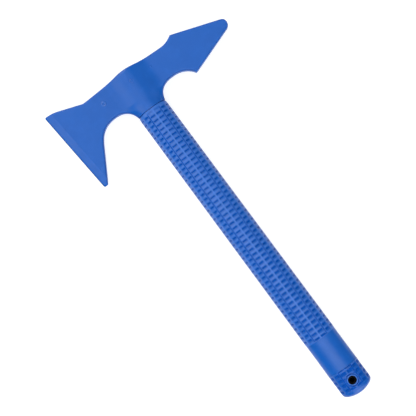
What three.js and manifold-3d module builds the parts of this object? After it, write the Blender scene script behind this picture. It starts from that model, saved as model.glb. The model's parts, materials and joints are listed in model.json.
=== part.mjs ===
// A blunt practice tomahawk in moulded plastic, lying on its side.
//
// Frame while it is built: the handle's axis is the line x = 0, z = 0, and y = 0 is the butt end.
// +X points along the spike, +Y along the handle to the head, +Z out of the side that faces up.
// The finished group is moved so that its origin is the centre of the bottom of its bounding box.

import * as THREE from "three";
import { mergeVertices } from "three/addons/utils/BufferGeometryUtils.js";
import Module from "manifold-3d";

const wasm = await Module();
wasm.setup();

// ---------- driving dimensions, millimetres ----------

const CLEARANCE = 0.3;              // gap between any two pieces

const SEAM_Y = 394.6;               // where the head ends and the grip starts
const BAND_TOP_Y = 75.5;            // where the textured grip ends
const CAP_TOP_Y = 32.8;             // where the smooth band ends

const GRIP_WIDTH_TOP = 36.9;        // across the handle at the head
const GRIP_WIDTH_BOTTOM = 38.8;     // across the handle at the butt
const GRIP_THICKNESS = 27.4;        // the handle's short way
const BAND_INSET = 0.2;             // the smooth band lies this much under the ribs of the texture
const BUTT_ROUND = 7.5;             // length of the rounded butt end

const COLUMN_ANGLES = [0, 37, 63, 90];  // column limits in a quarter of the grip's oval, degrees
const GROOVE_ANGLE = 63;            // the column limit that is a groove; the others are low ribs
const GROOVE_DEPTH = 0.8;
const RIB_HEIGHT = 0.25;

const PLATE_THICKNESS = 14;         // blade and spike
const EYE_THICKNESS = 28;           // the swell over the handle
const EYE_REACH = 30;               // from the axis to where the swell meets the plate
const NECK_HALF_WIDTH = 18.1;       // at the seam
const NECK_LENGTH = 15.5;           // the stretch where the neck flares into the eye
const EDGE_CHAMFER = 0.8;           // smaller than every corner radius of the outline

const BLADE_TOP = new THREE.Vector2(-104.4, 459.2);
const BLADE_BOTTOM = new THREE.Vector2(-95.7, 355.0);
const BEVEL_WIDTH = 9.2;
const BLADE_EDGE_THICKNESS = 5;   // blunt: nothing on it cuts

const CORE_WIDTH = 22;
const CORE_THICKNESS = 16;
const CORE_TOP_Y = 438.5;
const CORE_BOTTOM_Y = 7.5;

const PIN_Y = 432.5;
const PIN_RADIUS = 2.2;
const PIN_SINK = 0.15;              // how far its ends lie under the eye's surface

const LANYARD_Y = 18;
const BUSH_RADIUS = 4.75;
const BUSH_BORE_RADIUS = 3.2;
const BUSH_SINK = 1.3;              // how far the bush's ends lie under the boss
const BOSS_RADIUS = 6.2;
const BOSS_THICKNESS = 28.6;        // over both bosses, the thickest place on the object

// ---------- solids ----------

function solid(geometry) {
  const bare = geometry.clone();
  bare.deleteAttribute("normal");
  bare.deleteAttribute("uv");
  const merged = mergeVertices(bare, 1e-4);
  return new wasm.Manifold(new wasm.Mesh({
    numProp: 3,
    vertProperties: new Float32Array(merged.attributes.position.array),
    triVerts: new Uint32Array(merged.index.array),
  }));
}

function node(name, body, material) {
  const cut = body.getMesh();
  const geometry = new THREE.BufferGeometry();
  geometry.setAttribute("position", new THREE.BufferAttribute(cut.vertProperties, 3));
  geometry.setIndex(new THREE.BufferAttribute(cut.triVerts, 1));
  geometry.computeVertexNormals();
  const made = new THREE.Mesh(geometry, material);
  made.name = name;
  return made;
}

// A closed skin over rings of points that all run the same way round and hold equally many points.
// Seen from the last ring, the points run anticlockwise.
function loft(rings) {
  const count = rings[0].length;
  const points = rings.flat();
  const faces = [];
  for (let ring = 0; ring < rings.length - 1; ring += 1) {
    for (let i = 0; i < count; i += 1) {
      const a = ring * count + i;
      const b = ring * count + (i + 1) % count;
      faces.push(a, b, b + count, a, b + count, a + count);
    }
  }
  for (const [ring, last] of [[0, false], [rings.length - 1, true]]) {
    const middle = new THREE.Vector3();
    rings[ring].forEach((point) => middle.add(point));
    points.push(middle.divideScalar(count));
    for (let i = 0; i < count; i += 1) {
      const a = ring * count + i;
      const b = ring * count + (i + 1) % count;
      faces.push(...(last ? [a, b, points.length - 1] : [b, a, points.length - 1]));
    }
  }
  const geometry = new THREE.BufferGeometry().setFromPoints(points);
  geometry.setIndex(faces);
  return solid(geometry);
}

// A rod along Z through (x, y).
function rod(radius, length, x, y) {
  const geometry = new THREE.CylinderGeometry(radius, radius, length, 40);
  geometry.rotateX(Math.PI / 2);
  geometry.translate(x, y, 0);
  return solid(geometry);
}

// An oval ring across the handle's axis at height y.
function ovalRing(width, thickness, y, count = 56) {
  const ring = [];
  for (let i = 0; i < count; i += 1) {
    const angle = -2 * Math.PI * i / count;
    ring.push(new THREE.Vector3(Math.cos(angle) * width / 2, y, Math.sin(angle) * thickness / 2));
  }
  return ring;
}

function ovalBar(width, thickness, bottom, top) {
  return loft([ovalRing(width, thickness, bottom), ovalRing(width, thickness, top)]);
}

function gripWidth(y) {
  return THREE.MathUtils.mapLinear(y, 0, SEAM_Y, GRIP_WIDTH_BOTTOM, GRIP_WIDTH_TOP);
}

// The bore that every piece of the grip has for the core.
function coreBore(bottom, top) {
  return ovalBar(CORE_WIDTH + 2 * CLEARANCE, CORE_THICKNESS + 2 * CLEARANCE, bottom, top);
}

// ---------- the textured grip's section ----------

// All the column limits round the oval, in order, with how far each stands out.
function columnLimits() {
  const limits = new Map();
  for (const angle of COLUMN_ANGLES) {
    const height = angle === GROOVE_ANGLE ? -GROOVE_DEPTH : RIB_HEIGHT;
    for (const turned of [angle, 180 - angle, 180 + angle, (360 - angle) % 360]) {
      limits.set(turned, height);
    }
  }
  return [...limits].sort((one, other) => one[0] - other[0]);
}

// The oval ring with a groove or a rib at each column limit, at the given share of their full height.
function texturedRing(width, thickness, y, relief = 1) {
  const limits = columnLimits();
  const halfGap = 3.5;
  const ring = [];
  const add = (degrees, height) => {
    const angle = THREE.MathUtils.degToRad(degrees);
    const out = relief * (height - RIB_HEIGHT);
    const x = Math.cos(angle) * (width / 2 + out);
    const z = Math.sin(angle) * (thickness / 2 + out);
    ring.push(new THREE.Vector3(x, y, z));
  };
  limits.forEach(([angle, height], i) => {
    const next = i + 1 < limits.length ? limits[i + 1][0] : 360;
    const start = angle + halfGap;
    const end = next - halfGap;
    add(angle, height);
    for (const share of [0, 1 / 3, 2 / 3, 1]) {
      add(start + (end - start) * share, 0);
    }
  });
  return ring.reverse();
}

// ---------- the head ----------

// Draws the outline to a corner and round it, ready to go on to the next point.
function roundCorner(path, corner, next, radius) {
  const before = path.currentPoint.clone().sub(corner).normalize();
  const after = next.clone().sub(corner).normalize();
  const half = Math.acos(THREE.MathUtils.clamp(before.dot(after), -1, 1)) / 2;
  const back = radius / Math.tan(half);
  const start = corner.clone().addScaledVector(before, back);
  const end = corner.clone().addScaledVector(after, back);
  path.lineTo(start.x, start.y);
  path.quadraticCurveTo(corner.x, corner.y, end.x, end.y);
}

// The head's outline, anticlockwise from the left end of its neck.
function headOutline() {
  const at = (x, y) => new THREE.Vector2(x, y);
  const beardInside = at(-90.9, 355.3);
  const beardTop = at(-67, 396);
  const saddleLeft = at(-59.3, 445.6);
  const bladeShoulder = at(-91, 456.8);
  const spikeNotch = at(65.6, 450);
  const spikeTipUp = at(126.6, 428.8);
  const spikeTipDown = at(127.2, 419.5);
  const barb = at(65.4, 398.1);

  const outline = new THREE.Shape();
  outline.moveTo(NECK_HALF_WIDTH + 0.3, SEAM_Y);
  // hollow under the spike
  outline.bezierCurveTo(21.2, 407.2, 29.5, 411.5, 41.5, 411);
  outline.bezierCurveTo(51.5, 411.3, 59.6, 406.6, barb.x - 1.3, barb.y + 2.3);
  // spike
  roundCorner(outline, barb, spikeTipDown, 1.6);
  roundCorner(outline, spikeTipDown, spikeTipUp, 6.5);
  roundCorner(outline, spikeTipUp, spikeNotch, 6.5);
  roundCorner(outline, spikeNotch, at(61.4, 447.7), 2);
  outline.quadraticCurveTo(57.5, 445.3, 51.2, 444.9);
  // over the eye
  outline.bezierCurveTo(40, 445.1, 26, 445.7, 16, 446.8);
  outline.bezierCurveTo(8, 448.3, -6, 449.1, -14, 447.7);
  outline.bezierCurveTo(-22, 447, -40, 446.2, -54, 445.6);
  // blade
  roundCorner(outline, saddleLeft, bladeShoulder, 8);
  roundCorner(outline, bladeShoulder, BLADE_TOP, 50);
  roundCorner(outline, BLADE_TOP, BLADE_BOTTOM, 2.2);
  roundCorner(outline, BLADE_BOTTOM, beardInside, 2.2);
  roundCorner(outline, beardInside, beardTop, 2.2);
  outline.lineTo(beardTop.x, beardTop.y);
  // hollow under the blade
  outline.bezierCurveTo(-60.5, 406.9, -52, 411.5, -40, 411.6);
  outline.bezierCurveTo(-29.5, 411.8, -20.8, 407.2, -NECK_HALF_WIDTH - 0.1, SEAM_Y);
  outline.closePath();
  return outline;
}

function plate() {
  const geometry = new THREE.ExtrudeGeometry(headOutline(), {
    depth: PLATE_THICKNESS - 2 * EDGE_CHAMFER,
    bevelThickness: EDGE_CHAMFER,
    bevelSize: EDGE_CHAMFER,
    bevelOffset: -EDGE_CHAMFER,
    bevelSegments: 2,
    curveSegments: 14,
  });
  geometry.translate(0, 0, EDGE_CHAMFER - PLATE_THICKNESS / 2);
  return solid(geometry);
}

// One section of the swell over the handle: the handle's oval at the seam, turning into a wave that
// runs out into the plate where the eye is fully wide.
function swellRing(y, thickness) {
  const flare = THREE.MathUtils.clamp((y - SEAM_Y) / NECK_LENGTH, 0, 1);
  const wave = THREE.MathUtils.smoothstep(flare, 0, 1);
  const reach = THREE.MathUtils.lerp(NECK_HALF_WIDTH, EYE_REACH, flare * flare);
  const crest = thickness / 2;
  const foot = PLATE_THICKNESS / 2 - 0.1;
  const steps = 28;
  const upper = [];
  for (let i = 0; i <= steps; i += 1) {
    const across = Math.cos(Math.PI * i / steps);
    const oval = crest * Math.sqrt(Math.max(0, 1 - across * across));
    const rise = foot + (crest - foot) * (1 + Math.cos(Math.PI * across)) / 2;
    const z = Math.max(0.4, THREE.MathUtils.lerp(oval, rise, wave));
    upper.push(new THREE.Vector3(across * reach, y, z));
  }
  const lower = upper.map((point) => new THREE.Vector3(point.x, y, -point.z)).reverse();
  return [...upper, ...lower].reverse();
}

function swell() {
  const rings = [];
  const steps = 6;
  for (let i = 0; i <= steps; i += 1) {
    rings.push(swellRing(SEAM_Y + NECK_LENGTH * i / steps, EYE_THICKNESS));
  }
  rings.push(swellRing(446.4, EYE_THICKNESS));
  rings.push(swellRing(449, EYE_THICKNESS - 4));
  const inside = new THREE.ExtrudeGeometry(headOutline(), {
    depth: EYE_THICKNESS + 2,
    bevelEnabled: false,
    curveSegments: 14,
  });
  inside.translate(0, 0, -EYE_THICKNESS / 2 - 1);
  return loft(rings).intersect(solid(inside));
}

// The wedge that is taken off one side of the plate along the cutting edge.
function bevelCutter(side) {
  const outer = PLATE_THICKNESS / 2;
  const edge = BLADE_EDGE_THICKNESS / 2;
  const slope = (outer - edge) / BEVEL_WIDTH;
  const past = 6;
  const section = new THREE.Shape([
    new THREE.Vector2(BEVEL_WIDTH + past, side * (outer + past * slope)),
    new THREE.Vector2(-past, side * (outer + past * slope)),
    new THREE.Vector2(-past, side * (edge - past * slope)),
  ]);
  const along = BLADE_BOTTOM.clone().sub(BLADE_TOP);
  const length = along.length();
  along.normalize();
  const geometry = new THREE.ExtrudeGeometry(section, { depth: length + 2 * past, bevelEnabled: false });
  const inward = new THREE.Vector3(-along.y, along.x, 0);
  const up = new THREE.Vector3(0, 0, 1);
  const down = new THREE.Vector3(along.x, along.y, 0);
  const place = new THREE.Matrix4().makeBasis(inward, up, down);
  place.setPosition(BLADE_TOP.x - along.x * past, BLADE_TOP.y - along.y * past, 0);
  geometry.applyMatrix4(place);
  return solid(geometry);
}

function head() {
  return plate()
    .subtract(bevelCutter(1))
    .subtract(bevelCutter(-1))
    .add(swell())
    .subtract(coreBore(SEAM_Y - 5, CORE_TOP_Y + CLEARANCE))
    .subtract(rod(PIN_RADIUS + CLEARANCE, 2 * EYE_THICKNESS, 0, PIN_Y));
}

// ---------- the handle ----------

function handleCore() {
  return ovalBar(CORE_WIDTH, CORE_THICKNESS, CORE_BOTTOM_Y, CORE_TOP_Y)
    .subtract(rod(PIN_RADIUS + CLEARANCE, 2 * EYE_THICKNESS, 0, PIN_Y))
    .subtract(rod(BUSH_RADIUS + CLEARANCE, 2 * EYE_THICKNESS, 0, LANYARD_Y));
}

function gripSleeve() {
  const bottom = BAND_TOP_Y + CLEARANCE / 2;
  const top = SEAM_Y - CLEARANCE;
  const chamfer = 0.8;
  const ring = (y, inset) => texturedRing(gripWidth(y) - 2 * inset, GRIP_THICKNESS - 2 * inset, y);
  return loft([ring(bottom, chamfer), ring(bottom + chamfer, 0), ring(top - chamfer, 0), ring(top, chamfer)])
    .subtract(coreBore(bottom - 5, top + 5));
}

function gripBand() {
  const bottom = CAP_TOP_Y + CLEARANCE / 2;
  const top = BAND_TOP_Y - CLEARANCE / 2;
  const ring = (y) => ovalRing(gripWidth(y) - 2 * BAND_INSET, GRIP_THICKNESS - 2 * BAND_INSET, y);
  return loft([ring(bottom), ring(top)]).subtract(coreBore(bottom - 5, top + 5));
}

// The end is a shallow dome: it closes along a quarter of an ellipse, both ways across the handle.
function buttCap() {
  const top = CAP_TOP_Y - CLEARANCE / 2;
  const steps = 7;
  const first = THREE.MathUtils.degToRad(12);
  const rings = [];
  for (let i = 0; i <= steps; i += 1) {
    const angle = THREE.MathUtils.lerp(first, Math.PI / 2, i / steps);
    const y = BUTT_ROUND * (1 - Math.cos(angle) / Math.cos(first));
    const size = Math.sin(angle);
    rings.push(texturedRing(gripWidth(y) * size, GRIP_THICKNESS * size, y, size));
  }
  rings.push(texturedRing(gripWidth(top), GRIP_THICKNESS, top));
  return loft(rings)
    .add(rod(BOSS_RADIUS, BOSS_THICKNESS, 0, LANYARD_Y))
    .subtract(coreBore(CORE_BOTTOM_Y - CLEARANCE, top + 5))
    .subtract(rod(BUSH_RADIUS + CLEARANCE, 2 * BOSS_THICKNESS, 0, LANYARD_Y));
}

// ---------- small pieces ----------

function headPin() {
  return rod(PIN_RADIUS, EYE_THICKNESS - 2 * PIN_SINK, 0, PIN_Y);
}

function lanyardBush() {
  return rod(BUSH_RADIUS, BOSS_THICKNESS - 2 * BUSH_SINK, 0, LANYARD_Y)
    .subtract(rod(BUSH_BORE_RADIUS, 2 * BOSS_THICKNESS, 0, LANYARD_Y));
}

// ---------- the assembly ----------

const bluePlastic = new THREE.MeshStandardMaterial({ color: 0x3468be, roughness: 0.45, metalness: 0 });
const blackCore = new THREE.MeshStandardMaterial({ color: 0x141416, roughness: 0.6, metalness: 0 });
const blackBush = new THREE.MeshStandardMaterial({ color: 0x0b0b0e, roughness: 0.5, metalness: 0 });

const handle = new THREE.Group();
handle.add(
  node("handle_core", handleCore(), blackCore),
  node("grip_sleeve", gripSleeve(), bluePlastic),
  node("grip_band", gripBand(), bluePlastic),
  node("butt_cap", buttCap(), bluePlastic),
  node("lanyard_bush", lanyardBush(), blackBush),
);

const tomahawk = new THREE.Group();
tomahawk.add(node("head", head(), bluePlastic), node("head_pin", headPin(), bluePlastic), handle);

const bounds = new THREE.Box3().setFromObject(tomahawk);
const middle = bounds.getCenter(new THREE.Vector3());
tomahawk.position.set(-middle.x, -middle.y, -bounds.min.z);

export default tomahawk;
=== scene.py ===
"""A blunt practice tomahawk in blue moulded plastic, seen from above on a white table.

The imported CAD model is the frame. Its plain pieces are replaced by finer skins inside its outer sizes:
the head follows the outline of the CAD head, and the grip and butt carry the pockets of the texture,
which the CAD model leaves out. Lengths in the named values are in millimetres unless a comment says
otherwise; MM turns them into Blender's metres.
"""

import json
import math

import bmesh
import bpy
import numpy as np
from mathutils import Matrix, Vector
from mathutils.geometry import delaunay_2d_cdt


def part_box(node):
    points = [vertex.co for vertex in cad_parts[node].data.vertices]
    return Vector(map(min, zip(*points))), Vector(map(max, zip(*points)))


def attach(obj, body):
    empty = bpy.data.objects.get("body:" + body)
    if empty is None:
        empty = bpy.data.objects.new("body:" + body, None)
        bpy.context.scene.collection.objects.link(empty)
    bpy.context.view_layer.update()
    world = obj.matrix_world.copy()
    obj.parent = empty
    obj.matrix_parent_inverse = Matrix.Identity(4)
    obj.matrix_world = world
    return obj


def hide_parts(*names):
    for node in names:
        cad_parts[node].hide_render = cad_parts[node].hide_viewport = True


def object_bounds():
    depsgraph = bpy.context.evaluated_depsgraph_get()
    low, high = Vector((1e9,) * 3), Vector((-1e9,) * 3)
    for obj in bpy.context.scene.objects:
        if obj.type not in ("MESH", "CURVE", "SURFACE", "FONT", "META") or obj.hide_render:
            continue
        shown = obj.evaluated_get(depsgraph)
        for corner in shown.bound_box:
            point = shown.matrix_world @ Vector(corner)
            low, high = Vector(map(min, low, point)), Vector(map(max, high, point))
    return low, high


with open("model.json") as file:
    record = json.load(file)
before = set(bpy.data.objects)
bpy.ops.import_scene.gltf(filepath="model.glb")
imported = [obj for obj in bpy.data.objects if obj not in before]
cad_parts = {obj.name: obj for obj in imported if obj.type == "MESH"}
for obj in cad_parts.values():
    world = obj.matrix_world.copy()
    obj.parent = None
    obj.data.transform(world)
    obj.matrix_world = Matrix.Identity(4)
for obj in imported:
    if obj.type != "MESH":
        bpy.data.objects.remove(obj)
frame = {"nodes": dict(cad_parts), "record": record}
cad_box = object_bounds()

MM = 0.001

# ---------- places and sizes read from the frame, metres ----------

SLEEVE_LOW, SLEEVE_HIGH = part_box("grip_sleeve")
BAND_LOW, BAND_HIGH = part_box("grip_band")
CAP_LOW, CAP_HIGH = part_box("butt_cap")
HEAD_LOW, HEAD_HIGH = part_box("head")
CORE_LOW, CORE_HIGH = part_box("handle_core")
BUSH_LOW, BUSH_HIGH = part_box("lanyard_bush")
PIN_LOW, PIN_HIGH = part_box("head_pin")

AXIS_X = (SLEEVE_LOW.x + SLEEVE_HIGH.x) / 2
MIDDLE_Z = (SLEEVE_LOW.z + SLEEVE_HIGH.z) / 2
SEAM_Y = SLEEVE_HIGH.y + 0.3 * MM
GRIP_HALF_THICKNESS = (SLEEVE_HIGH.z - SLEEVE_LOW.z) / 2
EYE_HALF_THICKNESS = (HEAD_HIGH.z - HEAD_LOW.z) / 2
BLADE_FACE = next(m for m in frame["record"]["mounts"] if m["name"] == "blade_side_up")
PLATE_HALF_THICKNESS = BLADE_FACE["pos_m"][2] - MIDDLE_Z
CORE_GAP = 0.3 * MM           # between the core and the skins round it
BORE_HALF_WIDTH = (CORE_HIGH.x - CORE_LOW.x) / 2 + CORE_GAP
BORE_HALF_THICKNESS = (CORE_HIGH.z - CORE_LOW.z) / 2 + CORE_GAP

# ---------- the head's form, millimetres ----------

EDGE_ROUND = 1.1              # rounding of the plate's edges
EYE_EDGE_ROUND = 2.6          # rounding of the swell's end over the handle
SEAM_ROUND = 0.7              # rounding of the neck's end at the seam
EYE_REACH = 30.0              # how far the eye's swell reaches to each side of the axis
NECK_HALF_WIDTH = 18.1        # and how far it reaches at the seam
NECK_LENGTH = 15.5            # over this height the neck's oval turns into the eye's swell
NECK_FADE = (21, 29)          # beside the neck the plate's large rounding ends between these distances
SWELL_BLEND = 1.2             # the swell is faired into the plate where they differ by less than this
SWELL_FAIRING = 0.3           # the most that the fairing adds
BEVEL_WIDTH = 9.2
BLADE_HALF_EDGE = 2.5         # half the thickness that the bevel ends at
LOWEST_HEIGHT = 0.4           # the broad faces never come nearer to the middle plane than this

# Mould marks on the head: distance from the handle's axis, distance above the seam, radius, height.
MOULD_MARKS = [(-40.4, 36.4, 2.3, 0.4), (27.3, 39.0, 1.0, 0.45), (-85.4, -21.4, 0.8, 0.4)]
RING_FROM = 1.5               # a mark with a larger radius is a ring, a smaller one is a dot
RING_LINE = 0.45              # half the width of a ring's line
MARK_SOFTNESS = 0.3

WALL_INSET = 0.27             # the head's wall lies this much inside the CAD outline
WALL_RING = 2.2               # the wall's upper and lower rings: distance from the middle plane
LINE_RING = 1.3               # the same for both edges of the mould's parting line
PARTING_LINE = 0.25           # how far the parting line stands out of the wall
HOLE_STEPS = 40               # points round the hole for the dowel
HOLE_DIP = 0.3                # how far the surface dips at the rim of that hole
HOLE_DIP_WIDTH = 0.35

# Depths of the rows of points inside the outline, and the spacing of the points further in.
EDGE_ROWS = (0.06, 0.22, 0.5, 0.85, 1.3, 1.9, 2.7)
GRID_STEP = 1.3
GRID_ROW_STEP = GRID_STEP * 0.866
CREASE_OFFSETS = (-0.4, 0, 0.4)     # rows of points along the top of the bevel
CREASE_STEP = 1.1

# How pale the head is painted, from 0 in a deep corner to 1 on a ridge: painted shade at the low end,
# painted highlight at the high end.
PLAIN_TONE = 0.78             # the open surface
EDGE_TONE = 0.0               # painted shade right along its edges
EDGE_FADE = (0.4, 1.8)        # from one to the other, by distance inside the outline
MARK_TONE = 0.85              # painted highlight on the mould marks
MARK_FADE = (0.3, 0.9)
WALL_TONE = 0.05              # painted shade on the wall: what lies lower than WALL_TOP
WALL_TOP = 2.3
LINE_TONE = 1.0               # painted highlight on the parting line: lower than LINE_TOP and over LINE_OUT from the wall
LINE_TOP = 1.5
LINE_OUT = 0.12
STEEP = 0.88                  # faces whose normal's Z is below this are matt
STEEP_MARGIN = 0.2            # if they also lie this much lower than the plate's face

# ---------- the grip's texture ----------

# Degrees round the oval where one column ends and the next begins.
COLUMN_LIMITS = [0, 37, 63, 90, 117, 143, 180, 217, 243, 270, 297, 323, 360]
STAGGERED = [1, 1, 0, 0, 1, 1, 1, 1, 0, 0, 1, 1]    # the columns whose pockets lie half a row lower
GROOVED_LIMITS = {63, 117, 243, 297}                # these limits are grooves, the others are ribs
PITCH_TOP = 5.85              # one row of the texture at the head end
PITCH_BOTTOM = 6.35           # and at the butt
ROWS_PER_PITCH = 12           # rings of points for each row of the texture
POCKET_WIDE = 0.72            # share of the column's width
POCKET_TALL_TOP = 0.38        # share of the pitch at the head end
POCKET_TALL_BOTTOM = 0.64     # and at the butt
POCKET_CORNER = 0.95          # rounding of its corners
POCKET_DEPTH = 1.3
POCKET_WALL = (-0.5, 0.2)     # its wall runs between these distances from its rim
POCKET_SLOPE = 0.85           # how much of that depth is lost towards the butt
WEB_CROWN = 0.14              # the web is this much lower beside the pockets than along its middle
CROWN_FADE = (0.1, 1.2)
GROOVE_DEPTH = 1.0
GROOVE_WALL = (0.1, 0.8)      # between these distances from the column's limit
RIB_WALL = (0.1, 0.7)
WEB_INSET = 0.12              # the web lies this much under the ribs
CAP_SHIFT = 0.3               # the cap's straight columns start this part of a row higher
MATT_BELOW = 0.5              # faces of the texture whose relief is lower than this are matt
RELIEF_RADIUS = 15.5          # turns a share of the oval's size into millimetres of depth
RELIEF_START = 0.05           # the relief starts to fall at this depth
# Where the points of one column lie, from -1 at one limit to 1 at the next.
ACROSS = [-1, -0.9, -0.78, -0.66, -0.54, -0.3, 0, 0.3, 0.54, 0.66, 0.78, 0.9]

# ---------- the grip's ends ----------

GRIP_TAPER = 0.00203          # its half width shrinks by this for each unit of length towards the head
END_STEPS = (0, 0.1, 0.3, 0.6, 1.0)     # finer rings of points at both ends of a textured skin
SLEEVE_FROM_SEAM = (1.8, 6.0)           # the sleeve's texture sets in between these distances
SLEEVE_FROM_BAND = (0.3, 1.3)
BAND_INSET = 0.2              # the band lies this much under the oval
BAND_WAIST = 0.06             # and this much more half way along
BAND_STEPS = 120              # points round the band
CAP_INSET = 0.35              # the cap lies this much under the oval
CAP_LINE = 0.8                # depth of the dark line between band and cap on both broad faces
SEAM_NOTCH = 0.9              # the dip at both sides of the grip just below the head
NOTCH_FADE = (0.2, 1.6)
NOTCH_POWER = 6               # the higher this is, the less far the dip reaches round the grip
BAND_RAISE = 0.6              # the band's lower edge lies this much above the CAD one
BUTT_ROUND = 7.5              # length of the butt's rounded end
BUTT_RINGS = 19
DOME_POWER = 0.6              # below 1 the butt's end stays thick for longer than it stays wide
BOSS_RADIUS = 6.0             # the raised ring round the lanyard hole
BOSS_ROUND = 0.45
MOAT_DEPTH = 1.2              # the dip round the boss of the lanyard hole
MOAT_IN = (5.6, 6.4)          # it sets in between these distances from the hole's middle
MOAT_OUT = (6.7, 7.9)         # and ends between these
MOAT_TONE = 0.65              # painted paleness of the dip above the hole
MOAT_SHADE = 4                # painted shadow: it fades to 0 over this distance below the hole's middle
MOAT_RIM = (7.0, 8)           # and rises to 1 between these distances
BUSH_BORE_RADIUS = 3.2

# ---------- light, colour and camera ----------

BLUE_DEEP = (0.002, 0.091, 0.435, 1.0)       # the grip, from its darker to its paler clouds
BLUE_LIGHT = (0.004, 0.101, 0.47, 1.0)
HEAD_DEEP = (0.002, 0.096, 0.445, 1.0)       # the head, the band and the dowel
HEAD_LIGHT = (0.004, 0.106, 0.48, 1.0)
POCKET_PAINTED_SHADE = (0.0, 0.075, 0.42, 1.0)        # painted shade in the bottoms of the texture's pockets and below the lanyard hole's boss
RIB_PAINTED_HIGHLIGHT = (0.06, 0.2, 0.66, 1.0)            # painted highlight on the tops of its ribs and on the boss of the lanyard hole
EDGE_AND_WALL_PAINTED_SHADE = (0.0, 0.02, 0.17, 1.0)           # painted shade along the head's edges and on its wall
LINE_AND_MARK_PAINTED_HIGHLIGHT = (0.22, 0.42, 0.9, 1.0)          # painted highlight on the parting line and the mould marks
WHITE = (1.0, 1.0, 1.0, 1.0)
PLASTIC_IOR = 1.45

# Softboxes: name, place and target in metres, width and height in metres, watts.
SOFTBOXES = [
    ("top_softbox", (-0.05, 0.05, 2.2), (0, 0, 0), 2.2, 2.2, 12.0),
    ("grip_softbox", (-0.3, -0.8, 2.2), (0, -0.1, 0), 2.1, 1.6, 16.0),
    ("head_end_softbox", (-0.4, 1.6, 1.6), (0, 0, 0), 1.8, 1.4, 28.5),
    ("butt_end_softbox", (0.1, -1.9, 0.95), (0, -0.1, 0), 1.6, 1.2, 24.0),
    ("left_softbox", (-1.7, 0.6, 1.4), (-0.1, 0.15, 0), 1.2, 1.2, 9.5),
    ("right_softbox", (1.8, 0.2, 1.5), (0, 0, 0), 1.2, 1.2, 3.0),
]
WORLD_STRENGTH = 0.01
FLOOR_GLOW = 0.8
PAINTED_HOLE_SHADE_RADII = (7, 13)      # painted shade under the lanyard hole: the floor's glow sets in between these distances from the hole
FLOOR_RADII = (0.4, 1.0, 2.5, 6.0)      # metres
BACKDROP_RADIUS = 16.0                  # metres
CAMERA_LENS = 78.1
SENSOR_WIDTH = 36.0
CAMERA_PLACE = (-27.16, 7.4, 1020.0)    # from the object's middle
CAMERA_TARGET = (-26.86, 37.45, 0.0)
CAMERA_ROLL = 36.45                     # degrees between the frame's right and the object's X


# ---------- small helpers ----------

def smooth(low, high, value):
    """0 below low, 1 above high, an S-curve between them. Works on numbers and arrays."""
    share = np.clip((np.asarray(value, float) - low) / (high - low), 0, 1)
    return share * share * (3 - 2 * share)


def add_object(name, points, faces):
    mesh = bpy.data.meshes.new(name)
    mesh.from_pydata([tuple(p) for p in points], [], faces)
    mesh.validate()
    mesh.polygons.foreach_set("use_smooth", [True] * len(mesh.polygons))
    obj = bpy.data.objects.new(name, mesh)
    bpy.context.scene.collection.objects.link(obj)
    return obj


def apply_modifier(obj, kind, **settings):
    modifier = obj.modifiers.new(kind.lower(), kind)
    for key, value in settings.items():
        setattr(modifier, key, value)
    with bpy.context.temp_override(object=obj, active_object=obj, selected_objects=[obj]):
        bpy.ops.object.modifier_apply(modifier=modifier.name)


def cut_away(obj, cutter):
    apply_modifier(obj, "BOOLEAN", operation="DIFFERENCE", solver="EXACT", object=cutter)
    bpy.data.objects.remove(cutter)


def point_around(centre, radius, angle, z):
    return centre[0] + radius * math.cos(angle), centre[1] + radius * math.sin(angle), z


def lathe(name, profile, centre, steps=96):
    """Turns a closed profile of (radius, z) points about the vertical line through centre."""
    points = []
    faces = []
    count = len(profile)
    for i in range(steps):
        angle = 2 * math.pi * i / steps
        for radius, z in profile:
            points.append(point_around(centre, radius, angle, z))
        after = (i + 1) % steps
        for j in range(count):
            k = (j + 1) % count
            faces.append((i * count + j, after * count + j, after * count + k, i * count + k))
    return add_object(name, points, faces)


def rounded_tube_profile(inner, outer, low, high, radius, steps=5):
    """The section of a tube with rounded lips, anticlockwise in (radius, z)."""
    profile = []
    corners = [(outer, low, -90), (outer, high, 0), (inner, high, 90), (inner, low, 180)]
    for r, z, start in corners:
        centre_r = r - radius if r == outer else r + radius
        centre_z = z + radius if z == low else z - radius
        for i in range(steps + 1):
            angle = math.radians(start + 90 * i / steps)
            profile.append((centre_r + radius * math.cos(angle), centre_z + radius * math.sin(angle)))
    return profile


def turned_body(name, profile, centre, steps=96):
    """A closed body: a profile of (radius, z) points from axis to axis, turned round that axis."""
    inner = profile[1:-1]
    points = [(centre[0], centre[1], profile[0][1]), (centre[0], centre[1], profile[-1][1])]
    for i in range(steps):
        angle = 2 * math.pi * i / steps
        for radius, z in inner:
            points.append(point_around(centre, radius, angle, z))
    faces = []
    count = len(inner)
    for i in range(steps):
        here = 2 + i * count
        after = 2 + (i + 1) % steps * count
        faces.append((0, after, here))
        faces.append((1, here + count - 1, after + count - 1))
        for j in range(count - 1):
            faces.append((here + j, after + j, after + j + 1, here + j + 1))
    return add_object(name, points, faces)


def bore_ring(angles, y):
    """Points round the core's bore at those angles and that y."""
    points = []
    for angle in angles:
        x = AXIS_X + BORE_HALF_WIDTH * math.cos(angle)
        points.append((x, y, MIDDLE_Z + BORE_HALF_THICKNESS * math.sin(angle)))
    return points


def core_cutter(name, low_y, high_y, steps=96):
    """An oval bar a little larger than the core, used to cut its socket."""
    angles = [2 * math.pi * i / steps for i in range(steps)]
    points = bore_ring(angles, low_y) + bore_ring(angles, high_y)
    faces = [tuple(range(steps)), tuple(reversed(range(steps, 2 * steps)))]
    for i in range(steps):
        after = (i + 1) % steps
        faces.append((i, steps + i, steps + after, after))
    return add_object(name, points, faces)


# ---------- the head ----------

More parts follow.
